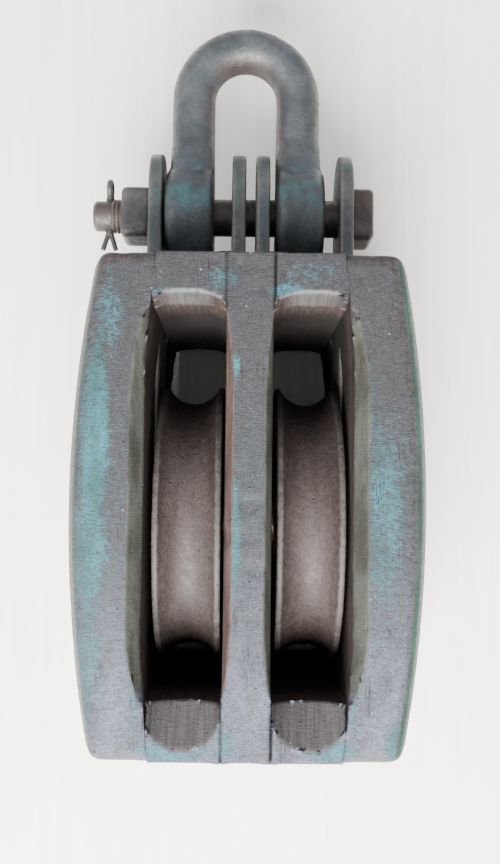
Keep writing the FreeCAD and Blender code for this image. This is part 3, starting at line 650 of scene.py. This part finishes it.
def wooden_piece(node, inner_axis, inner_signs, material=None, warm=0.0):
    """One worn wooden piece. The faces that look along inner_axis, to one of inner_signs, line a mortise."""
    piece = even_copy(node, node + "_wood", WOOD_VOXEL)
    mesh = piece.data
    edges = edge_array(mesh)
    points = vertex_array(mesh)
    edge = outward_bend(mesh, points, edges, WOOD_VOXEL)
    low, high = node_box(node)
    offset = (points - shell_mid) / MM
    # Seams between two pieces of wood stay crisp; other edges are worn round.
    away_x = np.minimum(np.abs(points[:, 0] - low[0]), np.abs(points[:, 0] - high[0]))
    if node.startswith("cheek"):
        away_x = np.abs(points[:, 0] - (high[0] if "left" in node else low[0]))
    at_end = ramp01(np.abs(offset[:, 1]), 70, 78)
    seam = at_end * (1 - ramp01(away_x, 1.2 * MM, 6 * MM))
    open_edge = np.clip(edge, 0, 1) * (1 - seam)
    softer = relax(points, edges, 4)
    points = points + (softer - points) * ramp01(open_edge, 0.05, 0.3)[:, None]
    set_points(mesh, points)
    normals = normal_array(mesh)

    along = normals[:, 0] if inner_axis == 0 else normals[:, 1]
    faces_in = np.zeros(len(points))
    for sign in inner_signs:
        faces_in = np.maximum(faces_in, ramp01(along * sign, 0.2, 0.42))

    # Slow unevenness everywhere, chips along the open edges, sunken soft grain on the flats.
    waves = layered(points, (0.022, 0.045, 0.022), 3) * WAVE_HEIGHT
    chips = ramp01(open_edge, 0.12, 0.5) * ramp01(layered(points, 0.006, 9), 0.1, 0.6) * CHIP_DEPTH
    if "chock" in node:
        chips = np.zeros(len(points))
    grooves = ramp01(noise(points, (0.0028, 0.05, 0.03), 21), 0.35, 0.9) * GRAIN_DEPTH
    knocks = ramp01(layered(points, 0.013, 27, 2), 0.45, 0.75) * KNOCK_DEPTH
    ring_middle = (shell_low[0] + RING_FROM_SIDE, shell_mid[1] - RING_BELOW_MIDDLE)
    rings = ring_marks(points, ring_middle, RING_REACH) * RING_HEIGHT
    shift = waves - chips - (grooves + knocks) * (1 - seam) + rings - SKIN_WEAR * (1 - seam)
    # Averaged normals keep neighbouring points apart where faces meet at an edge.
    outward = (normals + neighbour_mean(neighbour_mean(normals, edges), edges)) / 2
    points = np.clip(points + outward * shift[:, None], low, high)
    set_points(mesh, points)

    where = {"edge": edge, "open_edge": open_edge, "seam": seam, "at_end": at_end, "away_x": away_x,
             "offset": offset, "faces_in": faces_in}
    paint_zones(node, mesh, points, normals, inner_axis, warm, where)
    return finish_piece(piece, "shell", material or wood, [node])


wooden_piece("cheek_left", 0, (1,), warm=0.02)
wooden_piece("cheek_right", 0, (-1,), warm=0.15)
wooden_piece("centre_partition", 0, (1, -1), cracked_wood)
for side in ("left", "right"):
    wooden_piece("crown_chock_" + side, 1, (-1,), warm=0.2)
    wooden_piece("tail_chock_" + side, 1, (1,), warm=0.2)


# ---- Iron work -----------------------------------------------------------------------------------
def iron_piece(node, material, voxel, steps, dents, body="shell", touch=None, wear=None):
    """One forged or rusted iron piece: softened edges, uneven surface, pits."""
    piece = even_copy(node, node + "_iron", voxel)
    mesh = piece.data
    edges = edge_array(mesh)
    points = vertex_array(mesh)
    edge = outward_bend(mesh, points, edges, voxel)
    softer = relax(points, edges, steps)
    points = points + (softer - points) * ramp01(np.abs(edge), 0.04, 0.25)[:, None]
    set_points(mesh, points)
    normals = normal_array(mesh)
    uneven = layered(points, 0.012, 31) * dents
    pits = ramp01(layered(points, 0.0035, 37), 0.35, 0.8) * dents * 0.9
    points = points + normals * (uneven - pits - dents * 0.4)[:, None]
    low, high = node_box(node)
    points = np.clip(points, low, high)
    set_points(mesh, points)
    nothing = np.zeros(len(points))
    store(mesh, "edge", np.clip(edge, 0, 1))
    store(mesh, "turquoise", touch(points, normals) if touch else nothing)
    store(mesh, "worn", wear(points, normals) if wear else nothing)
    return finish_piece(piece, body, material, [node])


def shackle_touches(points, normals):
    """Blue-green left on the fronts of the eyes and in streaks on the legs."""
    low = node_box("shackle")[0]
    from_end = (points[:, 1] - low[1]) / MM
    on_eye = ramp01(from_end, 16, 26) * (1 - ramp01(from_end, 40, 54)) * ramp01(normals[:, 2], 0.2, 0.8)
    on_eye = on_eye * ramp01(layered(points, 0.009, 43), -0.3, 0.3) * 0.7
    streaks = ramp01(layered(points, (0.008, 0.02, 0.008), 41), 0.15, 0.55) * 0.4
    return on_eye + streaks * ramp01(normals[:, 2], 0, 0.6)


def shackle_wear(points, normals):
    """Rust on the inside of the bow and the inner sides of the legs."""
    low, high = node_box("shackle")
    middle = (low + high) / 2
    inward = -(points[:, 0] - middle[0]) * normals[:, 0] / (high[0] - middle[0])
    in_bow = -normals[:, 1] * ramp01(points[:, 1], high[1] - 0.04, high[1] - 0.015)
    return np.clip(ramp01(inward, 0.15, 0.6) + ramp01(in_bow, 0.1, 0.7), 0, 1) * 0.9


def outside_shell(points):
    """1 beyond the crown end of the shell and 0 inside it."""
    return ramp01(points[:, 1], shell_high[1] - 0.002, shell_high[1] + 0.002)


def ear_touches(points, _normals):
    """Paint on the ears only; inside the shell the straps are left unpainted and dark, partly as painted
    shade.
    """
    return outside_shell(points) * 0.45 * ramp01(layered(points, 0.01, 47), -0.1, 0.5)


def ear_rust_and_shade(points, _normals):
    """Rust at the tops of the ears and on everything inside the shell; inside, the darker rust is also
    painted shade.
    """
    high = node_box("strap_outer_left")[1]
    inside = 1 - outside_shell(points)
    return np.clip(inside * 1.2 + ramp01(points[:, 1], high[1] - 0.008, high[1] - 0.001), 0, 1.2)


for strap in ("strap_outer_left", "strap_inner_left", "strap_inner_right", "strap_outer_right"):
    iron_piece(strap, strap_iron, 1.1 * MM, 3, 0.14 * MM, touch=ear_touches, wear=ear_rust_and_shade)
for side in ("left", "right"):
    iron_piece("pin_plate_" + side, strap_iron, 0.7 * MM, 2, 0.06 * MM)
iron_piece("shackle", shackle_iron, 0.9 * MM, 9, 0.22 * MM, "shackle",
           shackle_touches, shackle_wear)
iron_piece("shackle_bolt", bolt_iron, 0.5 * MM, 2, 0.08 * MM)
iron_piece("bolt_nut", nut_iron, 0.6 * MM, 9, 0.22 * MM)
iron_piece("split_pin", nut_iron, 0.3 * MM, 2, 0.05 * MM)


# ---- Sheaves -------------------------------------------------------------------------------------
RIM_LAND = 2.5 * MM
GROOVE_DEPTH = 7.8 * MM
RIM_BAND = 15.0 * MM
WEB_RECESS = 4.0 * MM
HUB_RADIUS = 20.0 * MM
BUSH_RADIUS = 12.5 * MM
RIM_ROUND = 1.1 * MM
SHEAVE_STEPS = 260


def rounded_corner(before, corner, after, radius, steps=4):
    """Points of an arc that rounds off one corner of an outline."""
    to_before = (before - corner) / np.linalg.norm(before - corner)
    to_after = (after - corner) / np.linalg.norm(after - corner)
    half = math.acos(np.clip(to_before @ to_after, -1, 1)) / 2
    run = radius / math.tan(half)
    centre = corner + (to_before + to_after) / np.linalg.norm(to_before + to_after) * radius / math.sin(half)
    start = corner + to_before * run - centre
    end = corner + to_after * run - centre
    turn = math.acos(np.clip(start @ end / (radius * radius), -1, 1))
    arc = []
    for step in range(steps + 1):
        t = step / steps
        arc.append(centre + (start * math.sin((1 - t) * turn) + end * math.sin(t * turn)) / math.sin(turn))
    return arc


def spread(points, spacing):
    """Add points so that none along the closed outline are further apart than spacing."""
    out = []
    for a, b in zip(points, points[1:] + points[:1]):
        count = max(1, int(math.ceil(np.linalg.norm(b - a) / spacing)))
        out += [a + (b - a) * step / count for step in range(count)]
    return out


def sheave_outline(half, radius):
    """The wheel's closed section as points (across, out from the axle)."""
    web = half - WEB_RECESS
    rim_inner = radius - RIM_BAND
    lip = half - RIM_LAND
    corners = [
        (np.array(p), r) for p, r in [
            ((half, BUSH_RADIUS), 0.4 * MM), ((half, HUB_RADIUS), 1.5 * MM),
            ((web, HUB_RADIUS + 3 * MM), 2.5 * MM), ((web, rim_inner - 3 * MM), 2.5 * MM),
            ((half, rim_inner), 1.5 * MM), ((half, radius), RIM_ROUND), ((lip, radius), 0.9 * MM),
        ]
    ]
    groove_radius = (lip ** 2 + GROOVE_DEPTH ** 2) / (2 * GROOVE_DEPTH)
    groove_centre = radius - GROOVE_DEPTH + groove_radius
    sweep = math.asin(lip / groove_radius)
    groove = [
        np.array([groove_radius * math.sin(sweep * t), groove_centre - groove_radius * math.cos(sweep * t)])
        for t in np.linspace(0.93, -0.93, 25)
    ]
    ring = [c[0] for c in corners]
    right = []
    for i, (corner, r) in enumerate(corners):
        before = ring[i - 1] if i else np.array([0, BUSH_RADIUS])
        after = ring[i + 1] if i + 1 < len(ring) else groove[0]
        right += rounded_corner(before, corner, after, r)
    left = [np.array([-q[0], q[1]]) for q in reversed(right)]
    return spread(right + groove + left, 1.4 * MM)


def sheave_wheel(side):
    node = "sheave_" + side
    low, high = node_box(node)
    centre = (low + high) / 2
    half = (high[0] - low[0]) / 2
    radius = (high[2] - low[2]) / 2
    outline = np.array(sheave_outline(half, radius))
    turns = np.linspace(0, 2 * math.pi, SHEAVE_STEPS, endpoint=False)
    across = np.repeat(outline[None, :, 0], SHEAVE_STEPS, 0)
    out = np.repeat(outline[None, :, 1], SHEAVE_STEPS, 0)
    turn = np.repeat(turns[:, None], len(outline), 1)
    points = np.stack([across, out * np.cos(turn), out * np.sin(turn)], -1).reshape(-1, 3)
    count = len(outline)
    index = np.arange(SHEAVE_STEPS * count).reshape(SHEAVE_STEPS, count)
    next_turn = np.roll(index, -1, 0)
    quads = np.stack([index, np.roll(index, -1, 1), np.roll(next_turn, -1, 1), next_turn], -1).reshape(-1, 4)
    mesh = bpy.data.meshes.new(node + "_wheel")
    mesh.from_pydata((points + centre).tolist(), [], quads.tolist())
    mesh.update()
    piece = new_object(node + "_wheel", mesh)
    points = vertex_array(mesh)
    normals = normal_array(mesh)
    if np.mean(np.einsum("ij,ij->i", normals, points - centre)) < 0:
        mesh.flip_normals()
        normals = -normals
    edges = edge_array(mesh)
    edge = outward_bend(mesh, points, edges, 1.4 * MM)
    seed = 51 if side == "left" else 67
    uneven = layered(points, 0.01, seed) * 0.10 * MM
    nicks = ramp01(edge, 0.2, 0.8) * ramp01(layered(points, 0.005, seed + 3), 0.2, 0.7) * 0.7 * MM
    points = points + normals * (uneven - nicks - 0.1 * MM)[:, None]
    points = np.clip(points, low, high)
    set_points(mesh, points)
    from_axle = np.hypot(points[:, 1] - centre[1], points[:, 2] - centre[2])
    off_centre = np.abs(points[:, 0] - centre[0])
    rim = ramp01(from_axle, radius - 1.8 * MM, radius - 0.6 * MM)
    rim = rim * ramp01(off_centre, half - 4.5 * MM, half - 3 * MM)
    angle = np.arctan2(points[:, 2] - centre[2], points[:, 1] - centre[1])
    polar = np.stack([angle * radius, points[:, 0], from_axle], 1)
    in_groove = 1 - ramp01(np.abs(points[:, 0] - centre[0] + 0.001), 0.5 * MM, 1.6 * MM)
    track = in_groove * ramp01(from_axle, radius - 12 * MM, radius - 10 * MM) * (side == "left")
    store(mesh, "rim", rim)
    store(mesh, "edge", np.clip(edge, 0, 1))
    store(mesh, "polar", polar)
    store(mesh, "track", track)
    return finish_piece(piece, side + "_sheave", sheave_iron, [node])


for side in ("left", "right"):
    sheave_wheel(side)


# ---- Pieces that keep their CAD shape ------------------------------------------------------------
KEPT = {
    "bush_left": bronze, "bush_right": bronze, "sheave_pin": pin_steel,
    "plate_screws_left": bronze, "plate_screws_right": bronze,
    "crown_rivets": copper, "tail_rivets": copper, "rivet_roves": copper,
}
for node, material in KEPT.items():
    for material_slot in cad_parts[node].material_slots:
        material_slot.material = material


# ---- Floor, light and camera ---------------------------------------------------------------------
FLOOR_REACH = 4.0


def make_floor():
    """The plain pale board that the block lies on."""
    mesh = bpy.data.meshes.new("floor")
    corners = [(x * FLOOR_REACH, y * FLOOR_REACH, 0) for x, y in ((-1, -1), (1, -1), (1, 1), (-1, 1))]
    mesh.from_pydata(corners, [], [(0, 1, 2, 3)])
    mesh.materials.append(pale_board("pale_board"))
    floor = new_object("floor", mesh)


def area_light(name, place, size, power, tint):
    """A round light that faces the shell."""
    data = bpy.data.lights.new(name, "AREA")
    data.shape = "DISK"
    data.size = size
    data.energy = power
    data.color = tint
    lamp = bpy.data.objects.new(name, data)
    lamp.location = place
    lamp.rotation_euler = (Vector(shell_mid) - Vector(place)).to_track_quat("-Z", "Y").to_euler()
    bpy.context.scene.collection.objects.link(lamp)


SKY_TINT = (0.94, 0.96, 1.0, 1.0)
SKY_STRENGTH = 1.2
WINDOW_PLACE = (-0.12, -0.76, 0.93)
WINDOW_SIZE = 0.80
WINDOW_POWER = 112.0
WINDOW_TINT = (1.0, 0.99, 0.97)
FILL_PLACE = (-0.75, 0.10, 0.95)
FILL_SIZE = 0.8
FILL_POWER = 6.0
FILL_TINT = (0.94, 0.97, 1.0)


def make_light():
    """A soft sky, a broad light over the tail end and a faint fill from the left."""
    world = bpy.data.worlds.new("soft_daylight")
    world.use_nodes = True
    sky = world.node_tree.nodes["Background"]
    sky.inputs["Color"].default_value = SKY_TINT
    sky.inputs["Strength"].default_value = SKY_STRENGTH
    bpy.context.scene.world = world
    area_light("window", WINDOW_PLACE, WINDOW_SIZE, WINDOW_POWER, WINDOW_TINT)
    area_light("fill", FILL_PLACE, FILL_SIZE, FILL_POWER, FILL_TINT)


CAMERA_ABOVE_FRONT = 398.5 * MM
CAMERA_X = -2.5 * MM
CAMERA_Y = 3.8 * MM             # from the shell's middle
CAMERA_YAW = 0.0072             # radians towards +X
CAMERA_PITCH = 0.062            # radians towards the shackle
CAMERA_ROLL = -0.012
CAMERA_LENS = 41.76             # mm
CAMERA_SENSOR = 36.0            # mm


def make_camera():
    """The camera over the front face, at the photograph's viewing angle."""
    data = bpy.data.cameras.new("camera")
    data.lens = CAMERA_LENS
    data.sensor_width = CAMERA_SENSOR
    data.clip_start = 0.02
    camera = bpy.data.objects.new("camera", data)
    bpy.context.scene.collection.objects.link(camera)
    # Straight down with the shackle up in the frame, then tipped by the three small angles.
    look = Vector((math.sin(CAMERA_YAW) * math.cos(CAMERA_PITCH), math.sin(CAMERA_PITCH),
                   -math.cos(CAMERA_YAW) * math.cos(CAMERA_PITCH)))
    right = Vector((math.cos(CAMERA_YAW), 0, math.sin(CAMERA_YAW)))
    up = right.cross(look)
    tilted_right = right * math.cos(CAMERA_ROLL) - up * math.sin(CAMERA_ROLL)
    tilted_up = tilted_right.cross(look)
    turn = Matrix((tilted_right, tilted_up, -look)).transposed()
    camera.matrix_world = Matrix.Translation(
        (CAMERA_X, shell_mid[1] + CAMERA_Y, FRONT_Z + CAMERA_ABOVE_FRONT)) @ turn.to_4x4()
    bpy.context.scene.camera = camera


make_floor()
make_light()
make_camera()
